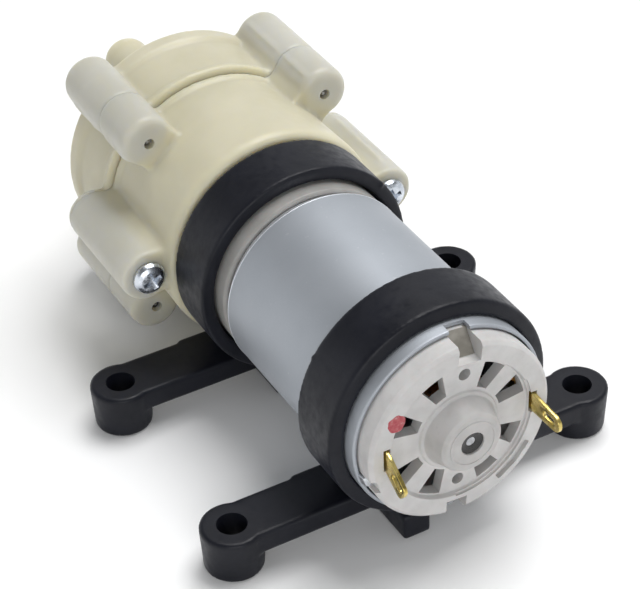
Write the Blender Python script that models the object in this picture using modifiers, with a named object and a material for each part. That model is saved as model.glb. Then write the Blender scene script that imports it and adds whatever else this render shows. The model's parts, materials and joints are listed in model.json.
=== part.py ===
"""Small electric diaphragm pump: can motor, moulded pump head and two footed straps.

Everything is laid out along one pump axis that runs along +Y.  Stations along
that axis are measured from the rear face of the rear strap; the head is at +Y.
"""
import math

import bmesh
import bpy

MM = 0.001

# Overall layout
AXIS_HEIGHT = 19.2 * MM      # pump axis above the floor
AXIAL_SHIFT = -36.05 * MM    # puts the middle of the pump on the origin

# Motor can and end cap
CAN_RADIUS = 13.85 * MM
CAN_INNER = 13.35 * MM
CAN_REAR = -3.0 * MM
CAN_FRONT = 32.2 * MM
CAN_BOSS_RADIUS = 5.0 * MM
CAN_BOSS_FRONT = 34.0 * MM
CAP_RADIUS = 13.15 * MM
CAP_RIM = -5.2 * MM
CAP_WEB = -4.4 * MM
CAP_HUB = -7.9 * MM
CAP_INSIDE = 2.0 * MM
CAP_WINDOW_ANGLES = (21, 57, 114, 155, 207, 244, 297, 333)
CAP_HOLE_RADIUS = 0.85 * MM
CAP_HOLE_PITCH = 8.3 * MM

# Terminals and brushes
TERMINAL_X = 10.7 * MM
TERMINAL_THICK = 0.5 * MM
TERMINAL_LOW = -1.2 * MM
TERMINAL_HIGH = 1.6 * MM
TERMINAL_TIP = -11.3 * MM
TERMINAL_ROOT = 1.2 * MM
BRUSH_SIZE = 2.2 * MM
BRUSH_STATION = 3.6 * MM

# Magnets and rotor
MAGNET_INNER = 10.7 * MM
MAGNET_OUTER = 13.1 * MM
MAGNET_SPAN = math.radians(128)
MAGNET_REAR = 5.5 * MM
MAGNET_FRONT = 27.5 * MM
SHAFT_RADIUS = 1.15 * MM
SHAFT_REAR = -7.3 * MM
SHAFT_FRONT = 41.0 * MM
CORE_RADIUS = 10.2 * MM
CORE_REAR = 9.0 * MM
CORE_FRONT = 24.0 * MM
COMMUTATOR_RADIUS = 2.7 * MM
CRANK_RADIUS = 4.6 * MM
CRANK_REAR = 36.6 * MM
CRANK_FRONT = 43.4 * MM
CRANK_THROW = 1.1 * MM
PIN_RADIUS = 0.75 * MM

# Pump head
COLLAR_REAR = 32.4 * MM
COLLAR_FRONT = 43.2 * MM
COLLAR_RADIUS = 13.6 * MM
DRUM_RADIUS = 16.5 * MM
DRUM_REAR = 43.3 * MM
DRUM_FRONT = 62.3 * MM
COVER_RADIUS = 17.7 * MM
COVER_REAR = 62.4 * MM
COVER_FRONT = 74.4 * MM
BOSS_RADIUS = 3.8 * MM
BOSS_PITCH = 19.5 * MM
BOSS_ANGLES = (42.5, 132.5, 222.5, 312.5)
BOSS_REAR = 53.8 * MM
BOSS_FRONT = 74.5 * MM
EAR_PITCH = 19.1 * MM
EAR_REAR = 44.5 * MM
EAR_FRONT = 63.5 * MM
SCREW_RADIUS = 1.0 * MM
NOZZLE_RADIUS = 3.7 * MM
NOZZLE_TIP_RADIUS = 2.9 * MM
NOZZLE_BORE = 2.0 * MM
NOZZLE_TIP = 83.4 * MM
INLET_X = -3.7 * MM
INLET_Z = 10.6 * MM
CHAMBER_PITCH = 8.6 * MM
CHAMBER_ANGLES = (90, 210, 330)
DIAPHRAGM_REAR = 60.6 * MM
VALVE_PLATE_REAR = 62.7 * MM
VALVE_PLATE_FRONT = 65.2 * MM
INLET_VALVE_RADIUS = 2.2 * MM
OUTLET_VALVE_RADIUS = 3.4 * MM
WOBBLE_STATION = 54.6 * MM

# Screw bosses on the head: pitch radius, angle in degrees, rear and front stations
HEAD_BOSSES = [(BOSS_PITCH, angle, BOSS_REAR, BOSS_FRONT) for angle in BOSS_ANGLES]
HEAD_BOSSES += [(EAR_PITCH, angle, EAR_REAR, EAR_FRONT) for angle in (0, 180)]

# Straps
STRAP_RADIUS = 15.9 * MM
STRAP_INNER = 14.0 * MM
STRAP_WIDTH = 8.2 * MM
REAR_STRAP = 0.0
FRONT_STRAP = 34.5 * MM
FOOT_X = 26.5 * MM
REAR_FEET = 7.1 * MM         # foot centres, along the axis, from the strap's rear face
FRONT_FEET = 5.8 * MM
FOOT_RADIUS = 4.3 * MM
FOOT_TOP = -12.5 * MM
FOOT_HOLE = 2.0 * MM
ARM_THICK = 2.9 * MM
ARM_WIDTH = 7.6 * MM
ARM_INNER = 7.2 * MM
LUG_X = (-6.0 * MM, -2.0 * MM)
LUG_Z = (-18.8 * MM, -14.9 * MM)
SHOULDER_OUTER = 15.9 * MM   # the arm is a little wider from here inwards
SHOULDER_STEP = 0.45 * MM
FOOT_TAPER = 0.3 * MM

# Facets
FINE = 48
MEDIUM = 24
SMALL = 14


def clear_scene():
    for old in list(bpy.data.objects):
        bpy.data.objects.remove(old, do_unlink=True)


def new_collection(name):
    made = bpy.data.collections.new(name)
    bpy.context.scene.collection.children.link(made)
    return made


def material(name, colour, roughness, metallic=0.0):
    made = bpy.data.materials.new(name)
    made.use_nodes = True
    shader = made.node_tree.nodes["Principled BSDF"]
    shader.inputs["Base Color"].default_value = (*colour, 1.0)
    shader.inputs["Roughness"].default_value = roughness
    shader.inputs["Metallic"].default_value = metallic
    made.diffuse_color = (*colour, 1.0)
    return made


clear_scene()
PARTS = new_collection("diaphragm_pump")
CUTTERS = new_collection("cutters")
AXES = {}


def axis_empty(name, station, parent=None):
    """An empty on the pump axis, at a station along it."""
    empty = bpy.data.objects.new(name, None)
    PARTS.objects.link(empty)
    if parent is None:
        empty.location = (0.0, AXIAL_SHIFT + station, AXIS_HEIGHT)
    else:
        empty.parent = parent
        empty.location = (0.0, station, 0.0)
    AXES[name] = empty
    return empty


def add_mesh(name, verts, faces, edges=()):
    """A new mesh on the pump axis, shown as a cutter until it is finished."""
    mesh = bpy.data.meshes.new(name)
    mesh.from_pydata(verts, edges, faces)
    mesh.update()
    made = bpy.data.objects.new(name, mesh)
    CUTTERS.objects.link(made)
    made.parent = AXES["pump_axis"]
    made.hide_render = True
    made.display_type = "WIRE"
    return made


def finish(made, colour, roughness, metallic=0.0, smooth=True, parent="pump_axis"):
    """Give a part its own material, its shading and its parent."""
    made.data.materials.append(material(made.name, colour, roughness, metallic))
    for face in made.data.polygons:
        face.use_smooth = smooth
    CUTTERS.objects.unlink(made)
    PARTS.objects.link(made)
    made.hide_render = False
    made.display_type = "TEXTURED"
    made.parent = AXES[parent]
    return made


def turned(name, profile, steps=FINE):
    """A closed (radius, station) profile, spun round the pump axis.

    Its outer side runs from the front to the rear.
    """
    verts = [(radius, station, 0.0) for radius, station in profile]
    count = len(verts)
    edges = [(i, (i + 1) % count) for i in range(count)]
    made = add_mesh(name, verts, [], edges)
    screw = made.modifiers.new("Screw", "SCREW")
    screw.axis = "Y"
    screw.steps = steps
    screw.render_steps = steps
    screw.use_merge_vertices = True
    screw.merge_threshold = 0.00001
    screw.use_smooth_shade = True
    return made


def rod(name, radius, rear, front, x=0.0, z=0.0, steps=SMALL, tip_radius=None):
    """A round bar along the axis, standing at x, z."""
    tip = radius if tip_radius is None else tip_radius
    verts = []
    for station, size in ((rear, radius), (front, tip)):
        for i in range(steps):
            angle = 2.0 * math.pi * i / steps
            verts.append((x + size * math.cos(angle), station, z + size * math.sin(angle)))
    faces = [tuple(range(steps)), tuple(range(2 * steps - 1, steps - 1, -1))]
    for i in range(steps):
        j = (i + 1) % steps
        faces.append((i, steps + i, steps + j, j))
    return add_mesh(name, verts, faces)


def upright_rod(name, radius, bottom, top, x, station, taper=0.0, steps=MEDIUM):
    """A round bar that stands vertically, smaller by taper at its bottom."""
    verts = []
    for level, size in ((bottom, radius - taper), (top, radius)):
        for i in range(steps):
            angle = 2.0 * math.pi * i / steps
            verts.append((x + size * math.cos(angle), station + size * math.sin(angle), level))
    faces = [tuple(range(steps - 1, -1, -1)), tuple(range(steps, 2 * steps))]
    for i in range(steps):
        j = (i + 1) % steps
        faces.append((i, j, steps + j, steps + i))
    return add_mesh(name, verts, faces)


def block(name, x, y, z, turn=0.0, bevel=0.0):
    """A box from three (low, high) pairs, turned about the pump axis."""
    verts = [(i, j, k) for i in x for j in y for k in z]
    faces = [(0, 1, 3, 2), (4, 6, 7, 5), (0, 4, 5, 1), (2, 3, 7, 6), (0, 2, 6, 4), (1, 5, 7, 3)]
    made = add_mesh(name, verts, faces)
    if turn:
        made.rotation_euler = (0.0, -turn, 0.0)
    if bevel:
        edge = made.modifiers.new("Bevel", "BEVEL")
        edge.width = bevel
        edge.segments = 2
    return made


def prism(name, outline, rear, front):
    """An outline of (x, z) points, anticlockwise seen from the rear, pushed along the axis."""
    count = len(outline)
    verts = [(x, station, z) for station in (rear, front) for x, z in outline]
    faces = [tuple(range(count)), tuple(range(2 * count - 1, count - 1, -1))]
    for i in range(count):
        j = (i + 1) % count
        faces.append((i, count + i, count + j, j))
    return add_mesh(name, verts, faces)


def sector(inner, outer, centre, span, steps):
    """The outline of a piece of a ring, centred on an angle."""
    angles = [centre - span / 2.0 + span * i / steps for i in range(steps + 1)]
    outline = [(outer * math.cos(a), outer * math.sin(a)) for a in angles]
    outline += [(inner * math.cos(a), inner * math.sin(a)) for a in reversed(angles)]
    return outline


def combine(target, others, operation="DIFFERENCE"):
    for other in others:
        boolean = target.modifiers.new(operation.title(), "BOOLEAN")
        boolean.operation = operation
        boolean.solver = "EXACT"
        boolean.object = other
    return target


def at_angle(pitch, degrees):
    angle = math.radians(degrees)
    return pitch * math.cos(angle), pitch * math.sin(angle)


# Motor -------------------------------------------------------------------------------

def motor_can():
    wall = CAN_RADIUS - CAN_INNER
    can = turned("motor_can", [
        (CAN_BOSS_RADIUS, CAN_BOSS_FRONT),
        (CAN_BOSS_RADIUS, CAN_FRONT),
        (CAN_RADIUS - 0.8 * MM, CAN_FRONT),
        (CAN_RADIUS, CAN_FRONT - 0.8 * MM),
        (CAN_RADIUS, CAN_REAR),
        (CAN_INNER, CAN_REAR),
        (CAN_INNER, CAN_FRONT - wall),
        (3.3 * MM, CAN_FRONT - wall),
        (3.3 * MM, CAN_BOSS_FRONT),
    ])
    holes = [
        rod("can_screw_hole", 1.5 * MM, CAN_FRONT - 3 * MM, CAN_FRONT + 2 * MM, x)
        for x in (-8.5 * MM, 8.5 * MM)
    ]
    combine(can, holes)
    finish(can, (0.62, 0.65, 0.70), 0.35, 1.0)


def end_cap():
    cap = turned("end_cap", [
        (11.2 * MM, CAP_INSIDE),
        (CAP_RADIUS, CAP_INSIDE),
        (CAP_RADIUS, CAP_RIM + 0.9 * MM),
        (CAP_RADIUS - 0.9 * MM, CAP_RIM),
        (10.0 * MM, CAP_RIM),
        (10.0 * MM, CAP_WEB),
        (6.0 * MM, CAP_WEB),
        (5.5 * MM, -5.3 * MM),
        (4.3 * MM, -6.0 * MM),
        (3.9 * MM, CAP_HUB),
        (1.7 * MM, CAP_HUB),
        (1.7 * MM, -7.1 * MM),
        (2.9 * MM, -7.1 * MM),
        (2.9 * MM, -2.8 * MM),
        (11.2 * MM, -2.8 * MM),
    ])
    cutters = [
        prism("cap_window", sector(6.1 * MM, 9.8 * MM, math.radians(a), math.radians(20), 3),
              CAP_WEB - 0.2 * MM, CAP_WEB + 3 * MM)
        for a in CAP_WINDOW_ANGLES
    ]
    for side in (-1, 1):
        cutters.append(rod("cap_hole", CAP_HOLE_RADIUS, CAP_WEB - 2 * MM, CAP_WEB + 3 * MM,
                           0.0, side * CAP_HOLE_PITCH))
        slot_half = TERMINAL_THICK / 2.0 + 0.25 * MM
        cutters.append(block("terminal_slot",
                             (side * TERMINAL_X - slot_half, side * TERMINAL_X + slot_half),
                             (-8 * MM, 4 * MM),
                             (TERMINAL_LOW - 0.25 * MM, TERMINAL_HIGH + 0.25 * MM)))
    cutters.append(block("top_notch", (10.6 * MM, 15 * MM), (-8 * MM, -3.4 * MM),
                         (-1.65 * MM, 1.65 * MM), math.radians(84)))
    cutters.append(block("bottom_notch", (11.3 * MM, 15 * MM), (-8 * MM, -3.8 * MM),
                         (-1.3 * MM, 1.3 * MM), math.radians(267)))
    combine(cap, cutters)
    finish(cap, (0.62, 0.60, 0.58), 0.5, smooth=False)


def bearings():
    for name, outer, rear, front in (
        ("rear_bearing", 2.7 * MM, -6.9 * MM, -3.4 * MM),
        ("front_bearing", 3.1 * MM, 31.5 * MM, 33.9 * MM),
    ):
        ring = turned(name, [
            (outer, front),
            (outer, rear),
            (SHAFT_RADIUS + 0.2 * MM, rear),
            (SHAFT_RADIUS + 0.2 * MM, front),
        ], MEDIUM)
        finish(ring, (0.55, 0.38, 0.20), 0.5, 1.0)


def plate(name, x, outline):
    """A sheet metal shape of (station, z) points, standing across x."""
    half = TERMINAL_THICK / 2.0
    count = len(outline)
    verts = [(side, station, z) for side in (x - half, x + half) for station, z in outline]
    faces = [tuple(range(count)), tuple(range(2 * count - 1, count - 1, -1))]
    for i in range(count):
        j = (i + 1) % count
        faces.append((i, count + i, count + j, j))
    return add_mesh(name, verts, faces)


def terminals():
    """The right blade is straight, and the left one is bent down."""
    straight = [(TERMINAL_ROOT, TERMINAL_LOW), (TERMINAL_TIP + 0.5 * MM, TERMINAL_LOW),
                (TERMINAL_TIP, -0.7 * MM), (TERMINAL_TIP, 1.1 * MM),
                (TERMINAL_TIP + 0.5 * MM, TERMINAL_HIGH), (TERMINAL_ROOT, TERMINAL_HIGH)]
    bent = [(TERMINAL_ROOT, TERMINAL_LOW), (-4.9 * MM, TERMINAL_LOW), (-8.2 * MM, -3.6 * MM),
            (-9.8 * MM, -1.3 * MM), (-5.7 * MM, TERMINAL_HIGH), (TERMINAL_ROOT, TERMINAL_HIGH)]
    for name, x, outline, eyelet_place, tilt in (
        ("terminal_left", -TERMINAL_X, bent, (-7.9 * MM, -1.6 * MM), 0.6),
        ("terminal_right", TERMINAL_X, straight, (-9.2 * MM, 0.2 * MM), 0.0),
    ):
        blade = plate(name, x, outline)
        eyelet = block("eyelet", (-2 * MM, 2 * MM), (-1.1 * MM, 1.1 * MM), (-0.5 * MM, 0.5 * MM))
        eyelet.location = (x, eyelet_place[0], eyelet_place[1])
        eyelet.rotation_euler = (tilt, 0.0, 0.0)
        combine(blade, [eyelet])
        finish(blade, (0.72, 0.55, 0.20), 0.3, 1.0, smooth=False)


def brush_gear():
    reach = COMMUTATOR_RADIUS + 0.25 * MM
    half = BRUSH_SIZE / 2.0
    for side, word in ((-1, "left"), (1, "right")):
        inner = side * reach
        outer = side * (reach + 2.6 * MM)
        brush = block("brush_" + word, sorted((inner, outer)),
                      (BRUSH_STATION - half, BRUSH_STATION + half), (-half, half))
        finish(brush, (0.05, 0.05, 0.05), 0.7, smooth=False)
        arm = block("brush_arm_" + word, sorted((outer + side * 0.1 * MM, side * 10.2 * MM)),
                    (BRUSH_STATION - 2.4 * MM, BRUSH_STATION - 2.0 * MM), (-half, half))
        tab = block("brush_tab", sorted((outer + side * 0.1 * MM, outer + side * 0.5 * MM)),
                    (BRUSH_STATION - 2.2 * MM, BRUSH_STATION + half), (-half, half))
        combine(arm, [tab], "UNION")
        finish(arm, (0.72, 0.42, 0.25), 0.35, 1.0, smooth=False)


def magnets():
    for centre, word in ((0.0, "right"), (math.pi, "left")):
        outline = sector(MAGNET_INNER, MAGNET_OUTER, centre, MAGNET_SPAN, 14)
        arc = prism("magnet_" + word, outline, MAGNET_REAR, MAGNET_FRONT)
        finish(arc, (0.12, 0.12, 0.13), 0.6, smooth=False)


def pole_outline():
    """Three T-shaped poles round a hub."""
    outline = []
    for pole in range(3):
        centre = math.radians(90 + 120 * pole)
        for offset, radius in ((-60, 3.4), (-26, 3.5), (-12, 8.6), (-48, 9.0), (-50, 10.2),
                               (-30, 10.2), (-10, 10.2), (10, 10.2), (30, 10.2), (50, 10.2),
                               (48, 9.0), (12, 8.6), (26, 3.5)):
            angle = centre + math.radians(offset)
            outline.append((radius * MM * math.cos(angle), radius * MM * math.sin(angle)))
    return outline


def armature():
    core = prism("armature_core", pole_outline(), CORE_REAR, CORE_FRONT)
    bore = rod("core_bore", SHAFT_RADIUS + 0.1 * MM, CORE_REAR - 1 * MM, CORE_FRONT + 1 * MM)
    combine(core, [bore])
    finish(core, (0.40, 0.41, 0.43), 0.45, 1.0, smooth=False, parent="rotor_axis")
    for pole in range(3):
        turn = math.radians(120 * pole)
        coil = block("winding_%d" % (pole + 1), (-3.6 * MM, 3.6 * MM),
                     (CORE_REAR - 2.6 * MM, CORE_FRONT + 2.6 * MM), (4.3 * MM, 7.0 * MM),
                     turn, 0.9 * MM)
        slot = block("winding_slot", (-2.1 * MM, 2.1 * MM),
                     (CORE_REAR - 0.25 * MM, CORE_FRONT + 0.25 * MM), (3.0 * MM, 9.0 * MM), turn)
        combine(coil, [slot])
        finish(coil, (0.55, 0.22, 0.10), 0.35, 1.0, parent="rotor_axis")
    commutator = turned("commutator", [
        (COMMUTATOR_RADIUS, 5.6 * MM),
        (COMMUTATOR_RADIUS, 1.6 * MM),
        (SHAFT_RADIUS + 0.1 * MM, 1.6 * MM),
        (SHAFT_RADIUS + 0.1 * MM, 5.6 * MM),
    ], MEDIUM)
    finish(commutator, (0.70, 0.38, 0.22), 0.3, 1.0, parent="rotor_axis")
    shaft = rod("motor_shaft", SHAFT_RADIUS, SHAFT_REAR, SHAFT_FRONT, steps=MEDIUM)
    finish(shaft, (0.70, 0.71, 0.73), 0.2, 1.0, parent="rotor_axis")


def crank():
    hub = turned("crank_hub", [
        (CRANK_RADIUS, CRANK_FRONT),
        (CRANK_RADIUS, CRANK_REAR),
        (SHAFT_RADIUS + 0.1 * MM, CRANK_REAR),
        (SHAFT_RADIUS + 0.1 * MM, SHAFT_FRONT + 0.2 * MM),
        (0.4 * MM, SHAFT_FRONT + 0.2 * MM),
        (0.4 * MM, CRANK_FRONT),
    ], MEDIUM)
    pocket = rod("pin_pocket", PIN_RADIUS + 0.1 * MM, SHAFT_FRONT + 0.6 * MM,
                 CRANK_FRONT + 1 * MM, CRANK_THROW)
    combine(hub, [pocket])
    finish(hub, (0.85, 0.85, 0.82), 0.5, parent="rotor_axis")
    pin = rod("crank_pin", PIN_RADIUS, SHAFT_FRONT + 0.8 * MM, WOBBLE_STATION - 4.0 * MM,
              CRANK_THROW)
    finish(pin, (0.70, 0.71, 0.73), 0.2, 1.0, parent="rotor_axis")


# Pump head ---------------------------------------------------------------------------

def motor_collar():
    collar = turned("motor_collar", [
        (COLLAR_RADIUS, COLLAR_FRONT),
        (COLLAR_RADIUS, COLLAR_REAR),
        (CAN_BOSS_RADIUS + 0.3 * MM, COLLAR_REAR),
        (CAN_BOSS_RADIUS + 0.3 * MM, COLLAR_REAR + 2.2 * MM),
        (12.2 * MM, COLLAR_REAR + 2.2 * MM),
        (12.2 * MM, COLLAR_FRONT),
    ])
    holes = [
        rod("collar_screw_hole", 1.5 * MM, COLLAR_REAR - 1 * MM, COLLAR_REAR + 4 * MM, x)
        for x in (-8.5 * MM, 8.5 * MM)
    ]
    combine(collar, holes)
    finish(collar, (0.60, 0.58, 0.54), 0.5)


def pan_screw(name, x, z, head_rear, tip, head_radius, shank, facing=1):
    """A pan head screw along the axis; facing 1 puts its tip towards the front."""
    head_end = head_rear + facing * 1.5 * MM
    head = rod(name, head_radius, *sorted((head_rear, head_end)), x, z, MEDIUM)
    stem = rod("stem", shank, *sorted((head_rear + facing * 0.8 * MM, tip)), x, z)
    cross = [
        block("cross", (x - 1.3 * MM, x + 1.3 * MM),
              sorted((head_rear - facing * 0.5 * MM, head_rear + facing * 0.8 * MM)),
              (z - 0.3 * MM, z + 0.3 * MM)),
        block("cross", (x - 0.3 * MM, x + 0.3 * MM),
              sorted((head_rear - facing * 0.5 * MM, head_rear + facing * 0.8 * MM)),
              (z - 1.3 * MM, z + 1.3 * MM)),
    ]
    combine(head, [stem], "UNION")
    combine(head, cross)
    finish(head, (0.66, 0.67, 0.69), 0.25, 1.0, smooth=False)


def screws():
    for side, word in ((-1, "left"), (1, "right")):
        pan_screw("motor_screw_" + word, side * 8.5 * MM, 0.0, 36.4 * MM, 30.6 * MM,
                  2.3 * MM, 1.2 * MM, -1)
        pan_screw("side_screw_" + word, side * EAR_PITCH, 0.0, EAR_REAR - 1.55 * MM,
                  EAR_FRONT - 1.4 * MM, 2.4 * MM, SCREW_RADIUS)
    for number, degrees in enumerate(BOSS_ANGLES, 1):
        x, z = at_angle(BOSS_PITCH, degrees)
        pan_screw("head_screw_%d" % number, x, z, BOSS_FRONT + 1.55 * MM,
                  BOSS_REAR + 0.7 * MM, 2.4 * MM, SCREW_RADIUS, -1)


def boss_pieces(rear, front, web_inner):
    """Screw bosses with a web back to the drum, and the holes through them."""
    solids = []
    holes = []
    for pitch, degrees, boss_rear, boss_front in HEAD_BOSSES:
        x, z = at_angle(pitch, degrees)
        low = max(rear, boss_rear)
        high = min(front, boss_front)
        solids.append(rod("boss", BOSS_RADIUS, low, high, x, z, MEDIUM))
        solids.append(block("boss_web", (web_inner, pitch), (low, high),
                            (-BOSS_RADIUS * 0.92, BOSS_RADIUS * 0.92), math.radians(degrees)))
        holes.append(rod("boss_hole", SCREW_RADIUS + 0.1 * MM, boss_rear - 2 * MM,
                         boss_front + 2 * MM, x, z))
    return solids, holes


def pump_housing():
    housing = turned("pump_housing", [
        (DRUM_RADIUS - 0.6 * MM, DRUM_FRONT),
        (DRUM_RADIUS, DRUM_REAR + 1.0 * MM),
        (DRUM_RADIUS - 1.0 * MM, DRUM_REAR),
        (11.6 * MM, DRUM_REAR),
        (11.6 * MM, DRUM_REAR - 3.0 * MM),
        (10.2 * MM, DRUM_REAR - 3.0 * MM),
        (10.2 * MM, DRUM_REAR + 1.6 * MM),
        (14.0 * MM, DRUM_REAR + 2.6 * MM),
        (14.0 * MM, DRUM_FRONT),
    ])
    solids, holes = boss_pieces(DRUM_REAR, DRUM_FRONT, 14.7 * MM)
    combine(housing, solids, "UNION")
    combine(housing, holes)
    finish(housing, (0.80, 0.77, 0.62), 0.4)


def front_cover():
    cover = turned("front_cover", [
        (5.4 * MM, COVER_FRONT),
        (COVER_RADIUS - 0.6 * MM, COVER_FRONT),
        (COVER_RADIUS, COVER_FRONT - 0.6 * MM),
        (COVER_RADIUS, COVER_REAR),
        (14.9 * MM, COVER_REAR),
        (14.9 * MM, VALVE_PLATE_FRONT + 0.2 * MM),
        (14.0 * MM, VALVE_PLATE_FRONT + 0.2 * MM),
        (14.0 * MM, COVER_FRONT - 2.0 * MM),
        (5.4 * MM, COVER_FRONT - 2.0 * MM),
        (5.4 * MM, VALVE_PLATE_FRONT + 0.2 * MM),
        (4.2 * MM, VALVE_PLATE_FRONT + 0.2 * MM),
        (4.2 * MM, COVER_FRONT - 3.0 * MM),
        (NOZZLE_BORE, COVER_FRONT - 2.0 * MM),
        (NOZZLE_BORE, COVER_FRONT),
    ])
    solids, holes = boss_pieces(COVER_REAR, BOSS_FRONT, 15.4 * MM)
    nozzles = []
    bores = []
    for x, z in ((0.0, 0.0), (INLET_X, INLET_Z)):
        stem = rod("nozzle", NOZZLE_RADIUS, COVER_FRONT - 1.0 * MM, NOZZLE_TIP - 2.0 * MM, x, z,
                   MEDIUM)
        tip = rod("nozzle_tip", NOZZLE_RADIUS - 0.1 * MM, NOZZLE_TIP - 2.5 * MM, NOZZLE_TIP,
                  x, z, MEDIUM, NOZZLE_TIP_RADIUS)
        nozzles += [stem, tip]
        bores.append(rod("nozzle_bore", NOZZLE_BORE, COVER_FRONT - 4.0 * MM,
                         NOZZLE_TIP + 2 * MM, x, z, MEDIUM))
    combine(cover, solids + nozzles, "UNION")
    combine(cover, holes + bores)
    finish(cover, (0.80, 0.77, 0.62), 0.4)


def valve_plate():
    plate = rod("valve_plate", 14.5 * MM, VALVE_PLATE_REAR, VALVE_PLATE_FRONT, steps=FINE)
    holes = []
    for degrees in CHAMBER_ANGLES:
        x, z = at_angle(CHAMBER_PITCH, degrees)
        holes.append(rod("inlet_port", 1.0 * MM, VALVE_PLATE_REAR - 1 * MM,
                         VALVE_PLATE_FRONT + 1 * MM, x, z))
        x, z = at_angle(2.6 * MM, degrees)
        holes.append(rod("outlet_port", 0.7 * MM, VALVE_PLATE_REAR - 1 * MM,
                         VALVE_PLATE_FRONT + 1 * MM, x, z))
    combine(plate, holes)
    finish(plate, (0.72, 0.72, 0.70), 0.45)


def diaphragm():
    sheet = rod("diaphragm", 13.6 * MM, DIAPHRAGM_REAR + 0.6 * MM, DIAPHRAGM_REAR + 1.6 * MM,
                steps=FINE)
    cups = []
    for degrees in CHAMBER_ANGLES:
        x, z = at_angle(CHAMBER_PITCH, degrees)
        cups.append(rod("cup", 3.0 * MM, DIAPHRAGM_REAR - 1.2 * MM, DIAPHRAGM_REAR + 1.0 * MM,
                        x, z, MEDIUM, 3.8 * MM))
    hollows = []
    for degrees in CHAMBER_ANGLES:
        x, z = at_angle(CHAMBER_PITCH, degrees)
        hollows.append(rod("cup_hollow", 2.2 * MM, DIAPHRAGM_REAR - 0.4 * MM,
                           DIAPHRAGM_REAR + 2.0 * MM, x, z, MEDIUM, 3.1 * MM))
    combine(sheet, cups, "UNION")
    combine(sheet, hollows)
    finish(sheet, (0.06, 0.06, 0.06), 0.7)


def wobble_plate():
    """A hub and three arms that press the diaphragm cups; its socket clears the crank pin."""
    base = WOBBLE_STATION
    hub = turned("wobble_plate", [
        (3.4 * MM, base + 2.0 * MM),
        (3.4 * MM, base - 7.0 * MM),
        (2.5 * MM, base - 7.0 * MM),
        (2.5 * MM, base - 1.2 * MM),
        (0.5 * MM, base - 0.6 * MM),
        (0.5 * MM, base + 2.0 * MM),
    ], MEDIUM)
    arms = []
    for degrees in CHAMBER_ANGLES:
        arms.append(block("arm", (2.9 * MM, CHAMBER_PITCH), (base, base + 1.6 * MM),
                          (-1.5 * MM, 1.5 * MM), math.radians(degrees)))
        x, z = at_angle(CHAMBER_PITCH, degrees)
        arms.append(rod("pad", 2.3 * MM, base - 0.2 * MM, base + 3.2 * MM, x, z, MEDIUM))
    combine(hub, arms, "UNION")
    finish(hub, (0.85, 0.85, 0.82), 0.5, parent="wobble_axis")
    hub.location = (0.0, -WOBBLE_STATION, 0.0)


def valves():
    for number, degrees in enumerate(CHAMBER_ANGLES, 1):
        x, z = at_angle(CHAMBER_PITCH, degrees)
        flap = rod("inlet_valve_%d" % number, INLET_VALVE_RADIUS, VALVE_PLATE_REAR - 0.65 * MM,
                   VALVE_PLATE_REAR - 0.05 * MM, x, z)
        stem = rod("valve_stem", 0.6 * MM, VALVE_PLATE_REAR - 0.4 * MM,
                   VALVE_PLATE_FRONT + 0.9 * MM, x, z)
        combine(flap, [stem], "UNION")
        finish(flap, (0.10, 0.10, 0.10), 0.7)
    flap = rod("outlet_valve", OUTLET_VALVE_RADIUS, VALVE_PLATE_FRONT + 0.05 * MM,
               VALVE_PLATE_FRONT + 0.75 * MM, steps=MEDIUM)
    finish(flap, (0.10, 0.10, 0.10), 0.7)


# Straps ------------------------------------------------------------------------------

def strap(name, rear, foot_offset):
    """A ring round the pump with an arm and a drilled foot on each side."""
    front = rear + STRAP_WIDTH
    ring = turned(name, [
        (STRAP_RADIUS, front),
        (STRAP_RADIUS, rear),
        (STRAP_INNER, rear),
        (STRAP_INNER, front),
    ])
    middle = rear + foot_offset
    holes = [rod("head_clearance", DRUM_RADIUS + 0.4 * MM, front + 0.02 * MM, front + 8 * MM,
                 steps=FINE)]
    solids = [block("lug", LUG_X, (rear - 1.3 * MM, rear + 7.0 * MM), LUG_Z)]
    for side in (-1, 1):
        solids.append(block("arm", sorted((side * ARM_INNER, side * FOOT_X)),
                            (middle - ARM_WIDTH / 2.0, middle + ARM_WIDTH / 2.0),
                            (FOOT_TOP - ARM_THICK, FOOT_TOP)))
        solids.append(block("shoulder", sorted((side * ARM_INNER, side * SHOULDER_OUTER)),
                            (middle, middle + ARM_WIDTH / 2.0 + SHOULDER_STEP),
                            (FOOT_TOP - ARM_THICK + 0.3 * MM, FOOT_TOP + 0.02 * MM)))
        solids.append(upright_rod("foot", FOOT_RADIUS, -AXIS_HEIGHT, FOOT_TOP + 0.01 * MM,
                                  side * FOOT_X, middle, FOOT_TAPER))
        holes.append(upright_rod("foot_hole", FOOT_HOLE, -AXIS_HEIGHT - 1 * MM,
                                 FOOT_TOP + 1 * MM, side * FOOT_X, middle))
    combine(ring, solids, "UNION")
    combine(ring, holes)
    finish(ring, (0.025, 0.026, 0.03), 0.45, smooth=False)


def build():
    axis_empty("pump_axis", 0.0)
    axis_empty("rotor_axis", 0.0, AXES["pump_axis"])
    axis_empty("wobble_axis", WOBBLE_STATION, AXES["pump_axis"])
    motor_can()
    end_cap()
    bearings()
    terminals()
    brush_gear()
    magnets()
    armature()
    crank()
    motor_collar()
    screws()
    pump_housing()
    front_cover()
    valve_plate()
    diaphragm()
    wobble_plate()
    valves()
    strap("rear_strap", REAR_STRAP, REAR_FEET)
    strap("front_strap", FRONT_STRAP, FRONT_FEET)


build()
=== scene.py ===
import json
import math

import bmesh
import bpy
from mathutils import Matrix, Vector, noise


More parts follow.
